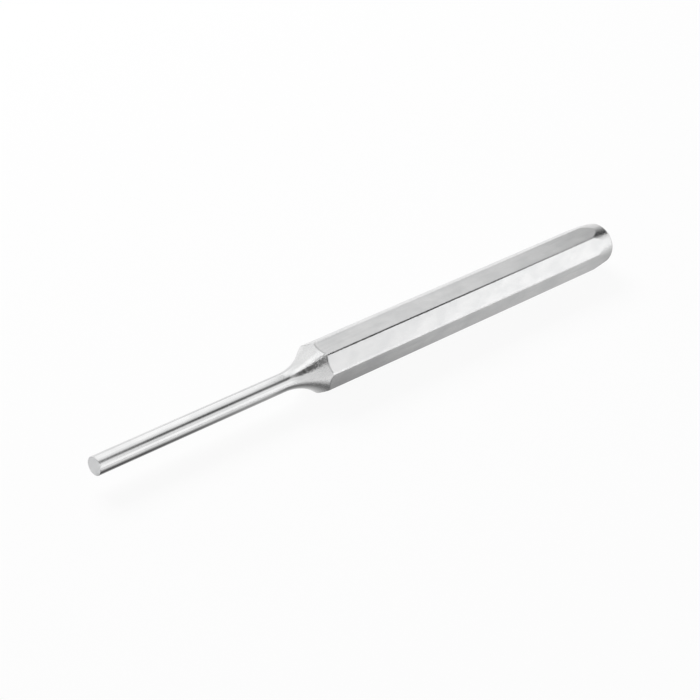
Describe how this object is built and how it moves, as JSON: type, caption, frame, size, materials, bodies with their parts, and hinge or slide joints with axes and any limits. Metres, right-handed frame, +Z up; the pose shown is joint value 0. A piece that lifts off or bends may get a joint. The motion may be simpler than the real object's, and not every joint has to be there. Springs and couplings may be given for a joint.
{
  "type": "pin punch",
  "caption": "Steel pin punch with a straight round pin, a concave shoulder, an octagonal shank and a tapered, crowned striking head, finished in satin chrome.",
  "frame": {"origin": "on the surface that the tool lies on, under the middle of its length", "axes": "+X along the tool from the pin to the head, +Z up, square to the flat that it lies on"},
  "size_m": [0.15, 0.0102, 0.0102],
  "materials": {
    "satin_chrome": "satin chrome plate over ground steel, with fine grinding marks along the flats"
  },
  "bodies": {
    "root": {"punch": "satin_chrome"}
  },
  "joints": []
}
